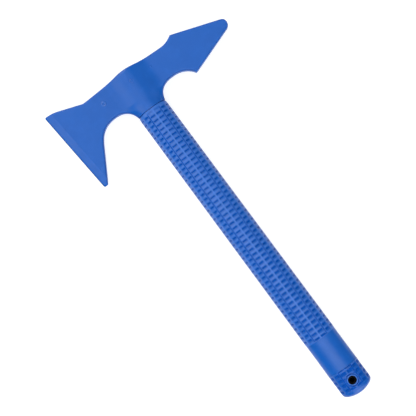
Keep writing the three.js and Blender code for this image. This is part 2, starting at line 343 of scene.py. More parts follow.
def head_outline():
    """The outer loop of the CAD head cut through its middle, measured from the axis and the seam."""
    cut = bmesh.new()
    cut.from_mesh(frame["nodes"]["head"].data)
    bmesh.ops.remove_doubles(cut, verts=cut.verts, dist=1e-6)
    everything = cut.verts[:] + cut.edges[:] + cut.faces[:]
    bmesh.ops.bisect_plane(
        cut,
        geom=everything,
        plane_co=(0, 0, MIDDLE_Z + 0.11 * MM),
        plane_no=(0, 0, 1),
        clear_inner=True,
        clear_outer=True,
    )
    start = max(cut.verts, key=lambda v: v.co.x)
    loop = [start]
    edge = start.link_edges[0]
    while True:
        vert = edge.other_vert(loop[-1])
        if vert is start:
            break
        loop.append(vert)
        edge = next(e for e in vert.link_edges if e is not edge)
    outline = np.array([((v.co.x - AXIS_X) / MM, (v.co.y - SEAM_Y) / MM) for v in loop])
    cut.free()
    in_socket = np.abs(outline[:, 0]) < (CORE_HIGH.x - CORE_LOW.x) / 2 / MM + 1
    outline = outline[~(in_socket & (outline[:, 1] < (CORE_HIGH.y - SEAM_Y) / MM + 1))]
    x, y = outline.T
    if np.sum(x * np.roll(y, -1) - np.roll(x, -1) * y) < 0:
        outline = outline[::-1]
    return outline


def divided(outline, longest):
    """The same loop with every side cut into pieces no longer than that."""
    points = []
    for here, after in zip(outline, np.roll(outline, -1, axis=0)):
        pieces = max(1, math.ceil(np.linalg.norm(after - here) / longest))
        for i in range(pieces):
            points.append(here + (after - here) * i / pieces)
    return np.array(points)


def outward_normals(outline):
    along = np.roll(outline, -1, axis=0) - np.roll(outline, 1, axis=0)
    normals = np.stack([along[:, 1], -along[:, 0]], 1)
    return normals / np.linalg.norm(normals, axis=1)[:, None]


def distance_inside(points, outline):
    """How far each point lies from the outline."""
    start = outline
    along = np.roll(outline, -1, axis=0) - start
    length_squared = (along ** 2).sum(1)
    best = np.full(len(points), np.inf)
    for a, d, squared in zip(start, along, length_squared):
        share = np.clip(((points - a) @ d) / squared, 0, 1)
        away = np.linalg.norm(points - a - share[:, None] * d, axis=1)
        best = np.minimum(best, away)
    return best


def is_inside(points, outline):
    x, y = points.T
    inside = np.zeros(len(points), bool)
    for (x0, y0), (x1, y1) in zip(outline, np.roll(outline, -1, axis=0)):
        crosses = (y0 > y) != (y1 > y)
        if y0 != y1:
            inside ^= crosses & (x < (x1 - x0) * (y - y0) / (y1 - y0) + x0)
    return inside


def cutting_edge(outline):
    """Where the blade's straight edge starts, and the unit direction from it into the blade."""
    ends = np.roll(outline, -1, axis=0)
    lengths = np.linalg.norm(ends - outline, axis=1)
    lengths[outline[:, 0] > -60] = 0
    side = lengths.argmax()
    along = (ends[side] - outline[side]) / lengths[side]
    return outline[side], np.array([-along[1], along[0]])


def round_drop(depth, radius):
    """How far an edge of that rounding lies under the surface at that depth inside the outline."""
    return radius - np.sqrt(radius ** 2 - (radius - np.minimum(depth, radius)) ** 2)


def from_mark(x, y, mark_x, mark_y, radius):
    """How far those places lie from the line of a ring mark, or from the middle of a dot."""
    return np.abs(np.hypot(x - mark_x, y - mark_y) - (radius if radius > RING_FROM else 0))


def head_height(points, depth, edge_point, inward):
    """Height of the head's surface above the middle plane, for points that deep inside its outline."""
    x, y = points.T
    plate = PLATE_HALF_THICKNESS / MM
    crest = EYE_HALF_THICKNESS / MM
    flare = np.clip(y / NECK_LENGTH, 0, 1)
    reach = NECK_HALF_WIDTH + (EYE_REACH - NECK_HALF_WIDTH) * flare ** 2
    across = np.clip(np.abs(x) / reach, 0, 1)
    wave = smooth(0, 1, flare)
    oval = crest * np.sqrt(1 - across ** 2)
    rise = plate + (crest - plate) * (1 + np.cos(np.pi * across)) / 2
    swell = oval + (rise - oval) * wave

    beside_neck = np.maximum(flare, smooth(*NECK_FADE, np.abs(x)))
    beside_neck = smooth(0, 1, beside_neck)
    neck_round = plate - 0.5
    corner = EDGE_ROUND + (neck_round - EDGE_ROUND) * (1 - beside_neck)
    flat = plate - round_drop(depth, corner)

    from_edge = (points - edge_point) @ inward
    bevel = BLADE_HALF_EDGE + (plate - BLADE_HALF_EDGE) * from_edge / BEVEL_WIDTH
    flat = np.minimum(flat, np.maximum(bevel - round_drop(depth, EDGE_ROUND), 0.5))

    on_eye = smooth(0.1, 0.9, (swell - plate) / (crest - plate)) * (y > 0)
    near_seam = 1 - smooth(2, 6, y)
    eye_corner = EDGE_ROUND + (EYE_EDGE_ROUND - EDGE_ROUND) * on_eye
    eye_corner = eye_corner + (SEAM_ROUND - eye_corner) * near_seam
    swell = np.where(np.abs(x) < reach, swell - round_drop(depth, eye_corner), 0)
    height = np.maximum(flat, swell)
    blend = np.clip(1 - np.abs(flat - swell) / SWELL_BLEND, 0, 1)
    on_slope = 1 - smooth(0.55, 0.95, across)
    height = height + SWELL_FAIRING * blend ** 2 * smooth(0.5, 2.5, depth) * on_slope

    for mark_x, mark_y, radius, step in MOULD_MARKS:
        away = from_mark(x, y, mark_x, mark_y, radius)
        wide = RING_LINE if radius > RING_FROM else radius
        height = height + step * (1 - smooth(wide - MARK_SOFTNESS, wide + MARK_SOFTNESS, away))
    return np.maximum(height, LOWEST_HEIGHT)


def head_points(outline, edge_point, inward):
    """Points that carry the surface: rows inside the outline, a grid, and rings round the marks."""
    outward = outward_normals(outline)
    rows = []
    for depth in EDGE_ROWS:
        row = outline - outward * depth
        row = row[is_inside(row, outline)]
        rows.append(row[distance_inside(row, outline) > 0.95 * depth])

    xs = np.arange(outline[:, 0].min(), outline[:, 0].max(), GRID_STEP)
    ys = np.arange(outline[:, 1].min(), outline[:, 1].max(), GRID_ROW_STEP)
    grid = np.array([(x + GRID_STEP / 2 * (j % 2), y) for j, y in enumerate(ys) for x in xs])
    grid = grid[is_inside(grid, outline)]
    grid = grid[distance_inside(grid, outline) > 3.4]
    inside_edge = (grid - edge_point) @ inward
    grid = grid[np.abs(inside_edge - BEVEL_WIDTH) > 0.8]

    line = np.array([-inward[1], inward[0]])
    crease = []
    for offset in CREASE_OFFSETS:
        for step in np.arange(-120, 120, CREASE_STEP):
            crease.append(edge_point + inward * (BEVEL_WIDTH + offset) + line * step)
    crease = np.array(crease)
    crease = crease[is_inside(crease, outline)]
    crease = crease[distance_inside(crease, outline) > 3.0]

    rings = []
    for mark_x, mark_y, radius, _ in MOULD_MARKS:
        grid = grid[np.hypot(grid[:, 0] - mark_x, grid[:, 1] - mark_y) > radius + 0.9]
        for ring in (0.3 * radius, 0.7 * radius, radius - 0.28, radius, radius + 0.28, radius + 0.7):
            for i in range(20):
                angle = 2 * math.pi * i / 20
                rings.append((mark_x + ring * math.cos(angle), mark_y + ring * math.sin(angle)))
    return np.concatenate([*rows, grid, crease, np.array(rings)])


def make_head():
    corners = head_outline()
    edge_point, inward = cutting_edge(corners)
    outline = divided(corners, 0.8)
    outward = outward_normals(outline)
    outline = outline - outward * WALL_INSET
    pin = (PIN_LOW + PIN_HIGH) / 2
    pin_centre = np.array([(pin.x - AXIS_X) / MM, (pin.y - SEAM_Y) / MM])
    hole_radius = (PIN_HIGH.x - PIN_LOW.x) / 2 / MM + 0.08
    turns = np.arange(HOLE_STEPS) * 2 * math.pi / HOLE_STEPS
    circle = np.stack([np.cos(turns), np.sin(turns)], 1)
    hole = pin_centre + hole_radius * circle
    collar_rings = [pin_centre + (hole_radius + out) * circle for out in (0.15, 0.35, 0.7, 1.2)]
    collar = np.concatenate(collar_rings)

    extra = head_points(outline, edge_point, inward)
    extra = extra[np.linalg.norm(extra - pin_centre, axis=1) > hole_radius + 1.6]
    count = len(outline)
    flat_points = [Vector(p) for p in np.concatenate([outline, hole, collar, extra])]
    sides = [(i, (i + 1) % count) for i in range(count)]
    sides += [(count + i, count + (i + 1) % HOLE_STEPS) for i in range(HOLE_STEPS)]
    found, _, triangles, sources, _, _ = delaunay_2d_cdt(flat_points, sides, [], 1, 1e-6)
    points = np.array([tuple(p) for p in found])
    place = {source: index for index, group in enumerate(sources) for source in group}
    height = head_height(points, distance_inside(points, outline), edge_point, inward)
    from_hole = np.linalg.norm(points - pin_centre, axis=1) - hole_radius
    height = height - HOLE_DIP * (1 - np.clip(from_hole / HOLE_DIP_WIDTH, 0, 1)) ** 2

    total = len(points)
    middles = np.array([points[list(t)].mean(0) for t in triangles])
    kept = np.linalg.norm(middles - pin_centre, axis=1) > hole_radius * 0.99
    triangles = [tuple(t) for t, keep in zip(triangles, kept) if keep]
    x = AXIS_X + points[:, 0] * MM
    y = SEAM_Y + points[:, 1] * MM
    levels = [np.stack([x, y, MIDDLE_Z + side * height * MM], 1) for side in (1, -1)]
    faces = list(triangles)
    faces += [tuple(total + i for i in reversed(t)) for t in triangles]

    # the wall, with a faint parting line half way up
    loop = [place[i] for i in range(count)]
    line = outline + outward * PARTING_LINE
    base = 2 * total
    for ring, z in ((outline, WALL_RING), (line, LINE_RING), (line, -LINE_RING), (outline, -WALL_RING)):
        ring_x = AXIS_X + ring[:, 0] * MM
        ring_y = SEAM_Y + ring[:, 1] * MM
        levels.append(np.stack([ring_x, ring_y, np.full(count, MIDDLE_Z + z * MM)], 1))
    rings = [loop] + [[base + k * count + i for i in range(count)] for k in range(4)]
    rings.append([total + i for i in loop])
    for upper, lower in zip(rings, rings[1:]):
        for i in range(count):
            j = (i + 1) % count
            faces.append((upper[j], upper[i], lower[i], lower[j]))

    # the wall of the dowel's hole
    for i in range(HOLE_STEPS):
        a = place[count + i]
        b = place[count + (i + 1) % HOLE_STEPS]
        faces.append((a, b, total + b, total + a))

    points = np.concatenate(levels)
    used = sorted({i for face in faces for i in face})
    new_place = {old: new for new, old in enumerate(used)}
    faces = [tuple(new_place[i] for i in face) for face in faces]
    shell = add_object("head_shell", points[used], faces)
    cut_away(shell, core_cutter("socket_cutter", SEAM_Y - 5 * MM, CORE_HIGH.y + CORE_GAP))
    shell.data.set_sharp_from_angle(angle=math.radians(40))
    mark_edges(shell, outline)
    return shell


def mark_edges(shell, outline):
    """Stores on every vertex how pale it is: painted shade along the edges and on the wall, a painted
    highlight on the parting line and marks.
    """
    count = len(shell.data.vertices)
    places = np.empty(count * 3)
    shell.data.vertices.foreach_get("co", places)
    x, y, z = places.reshape(count, 3).T
    flat = np.stack([(x - AXIS_X) / MM, (y - SEAM_Y) / MM], 1)
    away = distance_inside(flat, outline)
    height = np.abs(z - MIDDLE_Z) / MM
    values = EDGE_TONE + (PLAIN_TONE - EDGE_TONE) * smooth(*EDGE_FADE, away)
    for mark_x, mark_y, radius, _ in MOULD_MARKS:
        from_line = from_mark(flat[:, 0], flat[:, 1], mark_x, mark_y, radius)
        tone = PLAIN_TONE + (MARK_TONE - PLAIN_TONE) * (1 - smooth(*MARK_FADE, from_line))
        values = np.maximum(values, tone)
    values = np.where(height < WALL_TOP, WALL_TONE, values)
    values = np.where((height < LINE_TOP) & (away > LINE_OUT), LINE_TONE, values)
    relief = shell.data.attributes.new("relief", "FLOAT", "POINT")
    relief.data.foreach_set("value", values)


# ---------- the grip ----------

GRIP_LENGTH = SLEEVE_HIGH.y - CAP_LOW.y
PITCH_GROWTH = (PITCH_BOTTOM - PITCH_TOP) * MM / GRIP_LENGTH


def row_number(y):
    """How many rows of the texture lie between the seam and y. The rows get longer towards the butt."""
    return np.log(1 + PITCH_GROWTH * (SLEEVE_HIGH.y - y) / (PITCH_TOP * MM)) / PITCH_GROWTH


def row_place(number):
    """The y where that row begins: row_number the other way round."""
    return SLEEVE_HIGH.y - (np.exp(number * PITCH_GROWTH) - 1) * PITCH_TOP * MM / PITCH_GROWTH


def half_width_at(y):
    return (SLEEVE_HIGH.x - SLEEVE_LOW.x) / 2 - GRIP_TAPER * (y - SLEEVE_LOW.y)


def oval_point(angle, y, lift=0.0, size=1.0):
    """A point of the grip's oval, lifted out of it by lift. The butt's end shrinks it by size."""
    return (
        AXIS_X + math.cos(angle) * (half_width_at(y) * size + lift),
        y,
        MIDDLE_Z + math.sin(angle) * (GRIP_HALF_THICKNESS * size ** DOME_POWER + lift),
    )


def column_angles():
    """The angles round the grip that carry the texture, in radians."""
    angles = []
    for low, high in zip(COLUMN_LIMITS, COLUMN_LIMITS[1:]):
        angles += [low + (high - low) * (across + 1) / 2 for across in ACROSS]
    return np.radians(angles)


def texture_lift(angles, y):
    """How far the surface lies out of the smooth oval at those angles and that y, millimetres."""
    degrees = np.degrees(angles) % 360
    limits = np.array(COLUMN_LIMITS)
    number = np.clip(np.searchsorted(limits, degrees, side="right") - 1, 0, len(limits) - 2)
    low, high = limits[number], limits[number + 1]
    across = 2 * (degrees - low) / (high - low) - 1
    share_down = np.clip((SLEEVE_HIGH.y - y) / GRIP_LENGTH, 0, 1)
    pitch = PITCH_TOP + (PITCH_BOTTOM - PITCH_TOP) * share_down
    tall = pitch * (POCKET_TALL_TOP + (POCKET_TALL_BOTTOM - POCKET_TALL_TOP) * share_down ** 2) / 2
    side = np.hypot(np.sin(angles) * half_width_at(y), np.cos(angles) * GRIP_HALF_THICKNESS) / MM
    half_column = np.radians(high - low) / 2 * side
    phase = row_number(y) + 0.5 * np.array(STAGGERED)[number]
    if y < BAND_LOW.y:
        phase = phase + CAP_SHIFT * (1 - np.array(STAGGERED)[number])
    from_middle = (phase - np.floor(phase) - 0.5) * pitch
    u = np.maximum(np.abs(across) * half_column - (half_column * POCKET_WIDE - POCKET_CORNER), 0)
    v = np.maximum(np.abs(from_middle) - (tall - POCKET_CORNER), 0)
    out = np.hypot(u, v) - POCKET_CORNER
    floor = 1 - POCKET_SLOPE * np.clip(from_middle / tall / 2 + 0.5, 0, 1)
    lift = -WEB_INSET - POCKET_DEPTH * floor * (1 - smooth(*POCKET_WALL, out))
    lift = lift - WEB_CROWN * (1 - smooth(*CROWN_FADE, out))
    near = np.where(across < 0, low, high) % 360
    from_limit = (1 - np.abs(across)) * half_column
    grooved = np.isin(near, list(GROOVED_LIMITS))
    groove = -GROOVE_DEPTH * (1 - smooth(*GROOVE_WALL, from_limit))
    rib = WEB_INSET * (1 - smooth(*RIB_WALL, from_limit))
    return lift + np.where(grooved, groove, rib)


def mark_relief(obj, size_at=None, hole=None):
    """Stores on every vertex how near it is to the texture's top: 1 on the ribs, 0 in the pockets; the
    material paints shade where it is low and a highlight where it is high, and round the lanyard hole a
    painted shadow below the boss.
    """
    relief = obj.data.attributes.new("relief", "FLOAT", "POINT")
    count = len(obj.data.vertices)
    places = np.empty(count * 3)
    obj.data.vertices.foreach_get("co", places)
    x, y, z = places.reshape(count, 3).T
    size = size_at(y) if size_at else 1.0
    wide = half_width_at(y) * size + 1e-9
    thick = GRIP_HALF_THICKNESS * size ** DOME_POWER + 1e-9
    depth = (1 - np.hypot((x - AXIS_X) / wide, (z - MIDDLE_Z) / thick)) * RELIEF_RADIUS * size
    values = 1 - np.clip((depth - RELIEF_START) / (POCKET_DEPTH + 0.1), 0, 1)
    if hole:
        # painted shadow below the lanyard hole's boss: the dip is pale above the hole and dark below it,
        # and the boss itself is painted fully pale as a highlight
        away = np.hypot(x - hole.x, y - hole.y) / MM
        below = smooth(0, MOAT_SHADE, (hole.y - y) / MM)
        moat = np.maximum(MOAT_TONE * (1 - below), smooth(*MOAT_RIM, away))
        values = np.where(away < MOAT_RIM[1], moat, values)
        values = np.where(away < BOSS_RADIUS + 0.05, 1.0, values)
    relief.data.foreach_set("value", values)


def ring_tube(name, rings):
    """A closed tube over rings of points, the last ring joined back to the first."""
    count = len(rings[0])
    faces = []
    for k in range(len(rings)):
        after = (k + 1) % len(rings)
        for i in range(count):
            j = (i + 1) % count
            faces.append((k * count + i, k * count + j, after * count + j, after * count + i))
    return add_object(name, [p for ring in rings for p in ring], faces)


def capped_body(name, rings):
    """A closed body over rings of points, with a fan at both ends."""
    count = len(rings[0])
    points = [p for ring in rings for p in ring]
    faces = []
    for k in range(len(rings) - 1):
        for i in range(count):
            j = (i + 1) % count
            faces.append((k * count + i, k * count + j, (k + 1) * count + j, (k + 1) * count + i))
    for k, last in ((0, False), (len(rings) - 1, True)):
        points.append(tuple(np.mean(rings[k], axis=0)))
        for i in range(count):
            a, b = k * count + i, k * count + (i + 1) % count
            faces.append((a, b, len(points) - 1) if last else (b, a, len(points) - 1))
    return add_object(name, points, faces)


def end_drop(distance, radius):
    """How far a rounded end lies under the surface at that distance from the end, millimetres."""
    inside = min(max(distance, 0), radius)
    return radius - math.sqrt(radius ** 2 - (radius - inside) ** 2)


def rings_between(high_y, low_y, ends):
    """The y of each ring of the texture from high to low, with finer steps at both ends."""
    first = math.ceil(float(row_number(high_y)) * ROWS_PER_PITCH)
    last = math.floor(float(row_number(low_y)) * ROWS_PER_PITCH)
    places = {float(row_place(k / ROWS_PER_PITCH)) for k in range(first, last + 1)}
    places = {y for y in places if low_y + ends[-1] * MM < y < high_y - ends[-1] * MM}
    for step in ends:
        places.add(high_y - step * MM)
        places.add(low_y + step * MM)
    return sorted(places)


def make_sleeve():
    angles = column_angles()
    low_y = BAND_HIGH.y + 0.04 * MM
    high_y = SLEEVE_HIGH.y + 0.2 * MM
    rings = []
    for y in rings_between(high_y, low_y, END_STEPS):
        from_seam = (high_y - y) / MM
        from_band = (y - low_y) / MM
        shown = float(smooth(*SLEEVE_FROM_SEAM, from_seam) * smooth(*SLEEVE_FROM_BAND, from_band))
        notch = SEAM_NOTCH * (1 - smooth(*NOTCH_FADE, from_seam)) * np.cos(angles) ** NOTCH_POWER
        drop = end_drop(from_seam, 0.5) + end_drop(from_band, 0.25) + notch
        lifts = texture_lift(angles, y) * shown - WEB_INSET * (1 - shown) - drop
        rings.append([oval_point(angle, y, lift * MM) for angle, lift in zip(angles, lifts)])
    rings += [bore_ring(angles, high_y), bore_ring(angles, low_y)]
    sleeve = ring_tube("grip_skin", rings[::-1])
    mark_relief(sleeve)
    return sleeve


def make_band():
    angles = [2 * math.pi * i / BAND_STEPS for i in range(BAND_STEPS)]
    low_y, high_y = BAND_LOW.y + BAND_RAISE * MM, BAND_HIGH.y
    rings = []
    steps = [0, 0.08, 0.2, 0.4, 0.8]
    length = (high_y - low_y) / MM
    places = steps + list(np.linspace(2, length - 2, 22)) + [length - s for s in reversed(steps)]
    for place in places:
        y = low_y + place * MM
        drop = end_drop(place, 0.5) + end_drop(length - place, 0.2)
        waist = BAND_WAIST * math.sin(math.pi * place / length)
        rings.append([oval_point(a, y, -(BAND_INSET + drop + waist) * MM) for a in angles])
    rings += [bore_ring(angles, high_y), bore_ring(angles, low_y)]
    return ring_tube("band_skin", rings[::-1])


def make_butt():
    angles = column_angles()
    hole = (BUSH_LOW + BUSH_HIGH) / 2
    high_y = CAP_HIGH.y + (0.24 + BAND_RAISE) * MM
    low_y = CAP_LOW.y + BUTT_ROUND * MM
    rings = []
    for k in range(1, BUTT_RINGS):
        turn = math.radians(90 * k / BUTT_RINGS)
        y = CAP_LOW.y + BUTT_ROUND * MM * (1 - math.cos(turn))
        rings.append((y, math.sin(turn)))
    rings += [(y, 1.0) for y in rings_between(high_y, low_y, END_STEPS)]
    made = []
    facing = smooth(0.86, 0.93, np.abs(np.sin(angles)))
    for y, size in rings:
        from_band = (high_y - y) / MM
        from_end = (y - CAP_LOW.y) / MM
        shown = smooth(0.1, 0.7, from_band) * smooth(8.0, 9.8, from_end)
        drop = end_drop(from_band, 0.2) + CAP_INSET * smooth(0, 3, from_band)
        x = AXIS_X + np.cos(angles) * half_width_at(y)
        from_hole = np.hypot(x - hole.x, y - hole.y) / MM
        much = shown * smooth(7.6, 9.4, from_hole)
        moat = MOAT_DEPTH * smooth(*MOAT_IN, from_hole) * (1 - smooth(*MOAT_OUT, from_hole))
        lifts = texture_lift(angles, y) * much - WEB_INSET * (1 - much) - drop - moat
        lifts = lifts - CAP_LINE * facing * (1 - smooth(0.5, 1.2, from_band))
        ring = [oval_point(angle, y, lift * MM * size, size) for angle, lift in zip(angles, lifts)]
        made.append(ring)
    body = capped_body("butt_skin", made[::-1])

    boss_low, boss_high = CAP_LOW.z, CAP_HIGH.z
    outer = BOSS_RADIUS * MM
    profile = [
        (0, boss_low),
        (outer - BOSS_ROUND * MM, boss_low),
        (outer - 0.15 * MM, boss_low + 0.12 * MM),
        (outer, boss_low + BOSS_ROUND * MM),
        (outer, boss_high - BOSS_ROUND * MM),
        (outer - 0.15 * MM, boss_high - 0.12 * MM),
        (outer - BOSS_ROUND * MM, boss_high),
        (0, boss_high),
    ]
    boss = turned_body("boss", profile, hole)
    apply_modifier(body, "BOOLEAN", operation="UNION", solver="EXACT", object=boss)
    bpy.data.objects.remove(boss)
    cut_away(body, core_cutter("butt_cutter", CORE_LOW.y - CORE_GAP, high_y + 5 * MM))
    bore = (BUSH_HIGH.x - BUSH_LOW.x) / 2 + 0.25 * MM
    past = 2 * MM
    flare = 0.35 * MM
    profile = [
        (0, boss_low - past),
        (bore + flare, boss_low - past),
        (bore + flare, boss_low),
        (bore + 0.1 * MM, boss_low + 0.1 * MM),
        (bore, boss_low + flare),
        (bore, boss_high - flare),
        (bore + 0.1 * MM, boss_high - 0.1 * MM),
        (bore + flare, boss_high),
        (bore + flare, boss_high + past),
        (0, boss_high + past),
    ]
    cut_away(body, turned_body("hole_cutter", profile, hole))
    body.data.set_sharp_from_angle(angle=math.radians(50))

    def size_at(y):
        share = np.clip((y - CAP_LOW.y) / (BUTT_ROUND * MM), 0, 1)
        return np.sqrt(1 - (1 - share) ** 2)

    mark_relief(body, size_at, hole)
    return body


def make_bush():
    centre = (BUSH_LOW + BUSH_HIGH) / 2
    outer = (BUSH_HIGH.x - BUSH_LOW.x) / 2
    profile = rounded_tube_profile(BUSH_BORE_RADIUS * MM, outer, BUSH_LOW.z, BUSH_HIGH.z, 0.6 * MM)
    return lathe("bush_liner", profile, centre)


def make_pin():
    """The dowel: a plain shank with slightly crowned ends that follow the eye."""
    centre = (PIN_LOW + PIN_HIGH) / 2
    radius = (PIN_HIGH.x - PIN_LOW.x) / 2
    half = (PIN_HIGH.z - PIN_LOW.z) / 2
    profile = []
    for sign in (-1, 1):
        side = []
        for share in (0.0, 0.35, 0.6, 0.78, 0.9, 0.97, 1.0):
            side.append((radius * share, centre.z + sign * (half - 0.35 * MM * share ** 4)))
        profile += side if sign < 0 else side[::-1]
    return turned_body("pin_end", profile, centre, 48)


# ---------- materials ----------

def new_material(name):
    material = bpy.data.materials.new(name)
    material.use_nodes = True
    nodes = material.node_tree.nodes
    shader = next(n for n in nodes if n.type == "BSDF_PRINCIPLED")
    return material, material.node_tree, shader


def add_node(tree, kind, inputs=None, **settings):
    made = tree.nodes.new(kind)
    for key, value in settings.items():
        setattr(made, key, value)
    for key, value in (inputs or {}).items():
        made.inputs[key].default_value = value
    return made


def noise(tree, coordinates, scale, detail=3.0, roughness=0.55):
    inputs = {"Scale": scale, "Detail": detail, "Roughness": roughness}
    made = add_node(tree, "ShaderNodeTexNoise", inputs)
    tree.links.new(coordinates, made.inputs["Vector"])
    return made.outputs["Fac"]


def ramp(tree, value, low, high, from_low=0.0, from_high=1.0):
    limits = {"From Min": from_low, "From Max": from_high, "To Min": low, "To Max": high}
    made = add_node(tree, "ShaderNodeMapRange", limits)
    tree.links.new(value, made.inputs["Value"])
    return made.outputs["Result"]


def mix_colour(tree, share, first, second):
    made = add_node(tree, "ShaderNodeMix", data_type="RGBA")
    if isinstance(share, (int, float)):
        made.inputs["Factor"].default_value = share
    else:
        tree.links.new(share, made.inputs["Factor"])
    for socket, colour in ((made.inputs[6], first), (made.inputs[7], second)):
        if isinstance(colour, tuple):
            socket.default_value = colour
        else:
            tree.links.new(colour, socket)
    return made.outputs[2]


def plastic(name, deep, light, rough_low, rough_high, grain, specks=True, relief=None, gloss=0.5):
    """Moulded plastic: clouded colour, paler where edges are rubbed, small specks and a fine grain.

    relief holds the colours of the lowest and the highest places, painted shade and painted highlight;
    gloss is the specular level.
    """
    material, tree, shader = new_material(name)
    place = add_node(tree, "ShaderNodeTexCoord").outputs["Object"]
    clouds = noise(tree, place, 22.0, 4.0)
    flow = noise(tree, place, 110.0, 3.0)
    colour = mix_colour(tree, ramp(tree, clouds, 0, 1, 0.3, 0.7), deep, light)
    paler = tuple(min(1.0, c * 1.12 + 0.004) for c in light[:3]) + (1.0,)
    colour = mix_colour(tree, ramp(tree, flow, 0, 0.35, 0.45, 0.75), colour, paler)

    pointy = add_node(tree, "ShaderNodeNewGeometry").outputs["Pointiness"]
    rubbed = ramp(tree, pointy, 0.0, 0.5, 0.515, 0.6)
    worn = tuple(min(1.0, c * 1.25 + 0.02) for c in light[:3]) + (1.0,)
    colour = mix_colour(tree, rubbed, colour, worn)
    if specks:
        cells = add_node(tree, "ShaderNodeTexVoronoi", {"Scale": 260.0, "Randomness": 1.0})
        tree.links.new(place, cells.inputs["Vector"])
        near = ramp(tree, cells.outputs["Distance"], 1.0, 0.0, 0.04, 0.09)
        chosen = ramp(tree, cells.outputs["Color"], 0.0, 1.0, 0.86, 0.9)
        both = add_node(tree, "ShaderNodeMath", operation="MULTIPLY")
        tree.links.new(near, both.inputs[0])
        tree.links.new(chosen, both.inputs[1])
        share = ramp(tree, both.outputs[0], 0.0, 0.35)
        colour = mix_colour(tree, share, colour, worn)
    haze = noise(tree, place, 60.0, 4.0)
    rough = ramp(tree, haze, rough_low, rough_high, 0.3, 0.7)
    if relief:
        # painted shade where the relief is low and painted highlight where it is high
        height = add_node(tree, "ShaderNodeAttribute", attribute_name="relief").outputs["Fac"]
        colour = mix_colour(tree, ramp(tree, height, 1.0, 0.0, 0.0, 0.75), colour, relief[0])
        colour = mix_colour(tree, ramp(tree, height, 0.0, 0.75, 0.82, 1.0), colour, relief[1])
        duller = add_node(tree, "ShaderNodeMath", operation="MULTIPLY")
        tree.links.new(rough, duller.inputs[0])
        tree.links.new(ramp(tree, height, 1.1, 0.9), duller.inputs[1])
        rough = duller.outputs[0]
    tree.links.new(colour, shader.inputs["Base Color"])
    tree.links.new(rough, shader.inputs["Roughness"])
    fine = noise(tree, place, 2600.0, 2.0, 0.6)
    waves = noise(tree, place, 75.0, 2.0)
    bump = add_node(tree, "ShaderNodeBump", {"Strength": grain, "Distance": 0.00006})
    tree.links.new(fine, bump.inputs["Height"])
    slow = add_node(tree, "ShaderNodeBump", {"Strength": 0.25, "Distance": 0.0004})
    tree.links.new(waves, slow.inputs["Height"])
    tree.links.new(bump.outputs["Normal"], slow.inputs["Normal"])
    tree.links.new(slow.outputs["Normal"], shader.inputs["Normal"])
    shader.inputs["IOR"].default_value = PLASTIC_IOR
    shader.inputs["Specular IOR Level"].default_value = gloss
    return material


def give(obj, material, matt=None, matt_faces=None):
    """Sets the material; the faces picked by matt_faces get the duller one."""
    obj.data.materials.clear()
    obj.data.materials.append(material)
    if matt:
        obj.data.materials.append(matt)
        obj.data.polygons.foreach_set("material_index", matt_faces.astype(np.int32))
    return obj


def pocket_faces(obj):
    """The faces that lie in the texture's pockets."""
    relief = np.empty(len(obj.data.vertices))
    obj.data.attributes["relief"].data.foreach_get("value", relief)
    corners = np.empty(len(obj.data.loops), np.int32)
    obj.data.loops.foreach_get("vertex_index", corners)
    starts = np.empty(len(obj.data.polygons), np.int32)
    obj.data.polygons.foreach_get("loop_start", starts)
    totals = np.empty(len(obj.data.polygons), np.int32)
    obj.data.polygons.foreach_get("loop_total", totals)
    return np.add.reduceat(relief[corners], starts) / totals < MATT_BELOW


def wall_faces(obj):
    """The head's steep faces below the plate's face: the walls and the steep part of the rounding."""
    normals = np.empty(len(obj.data.polygons) * 3)
    obj.data.polygons.foreach_get("normal", normals)
    centres = np.empty(len(obj.data.polygons) * 3)
    obj.data.polygons.foreach_get("center", centres)
    upright = np.abs(normals.reshape(-1, 3)[:, 2]) < STEEP
    inside = np.abs(centres.reshape(-1, 3)[:, 2] - MIDDLE_Z) < PLATE_HALF_THICKNESS - STEEP_MARGIN * MM
    return upright & inside


# ---------- lights, floor and camera ----------

def area_light(name, place, target, width, height, watts):
    data = bpy.data.lights.new(name, "AREA")
    data.shape = "RECTANGLE"
    data.size = width
    data.size_y = height
    data.energy = watts
    obj = bpy.data.objects.new(name, data)
    bpy.context.scene.collection.objects.link(obj)
    obj.location = place
    obj.rotation_euler = (Vector(target) - Vector(place)).to_track_quat("-Z", "Y").to_euler()
    obj.visible_camera = False
    return obj


def make_floor():
    """A round white table, 32 m across so that its edge is never in view."""
    steps = 96
    points = [(0.0, 0.0, 0.0)]
    faces = []
    radii = (*FLOOR_RADII, BACKDROP_RADIUS)
    for radius in radii:
        for i in range(steps):
            angle = 2 * math.pi * i / steps
            points.append((radius * math.cos(angle), radius * math.sin(angle), 0.0))
    for i in range(steps):
        j = (i + 1) % steps
        faces.append((0, 1 + i, 1 + j))
        for k in range(len(radii) - 1):
            inner, outer = 1 + k * steps, 1 + (k + 1) * steps
            faces.append((inner + i, outer + i, outer + j, inner + j))
    floor = add_object("studio_floor", points, faces)
    floor.location.z = -0.0003
    material, tree, shader = new_material("white_table")
    place = add_node(tree, "ShaderNodeTexCoord").outputs["Object"]
    shade = noise(tree, place, 3.0, 2.0)
    colour = mix_colour(tree, shade, (0.34, 0.34, 0.34, 1.0), (0.36, 0.36, 0.36, 1.0))
    tree.links.new(colour, shader.inputs["Base Color"])
    shader.inputs["Roughness"].default_value = 0.9
    shader.inputs["Specular IOR Level"].default_value = 0.0
    shader.inputs["Emission Color"].default_value = WHITE
    # Painted shade: right under the lanyard hole the floor gives no glow, so the hole looks dark.
    hole = (BUSH_LOW + BUSH_HIGH) / 2
    away = add_node(tree, "ShaderNodeVectorMath", {1: (hole.x, hole.y, 0.0)}, operation="DISTANCE")
    tree.links.new(place, away.inputs[0])
    dark_to, glow_from = (distance * MM for distance in PAINTED_HOLE_SHADE_RADII)
    glow = ramp(tree, away.outputs["Value"], 0.0, FLOOR_GLOW, dark_to, glow_from)
    tree.links.new(glow, shader.inputs["Emission Strength"])
    give(floor, material)


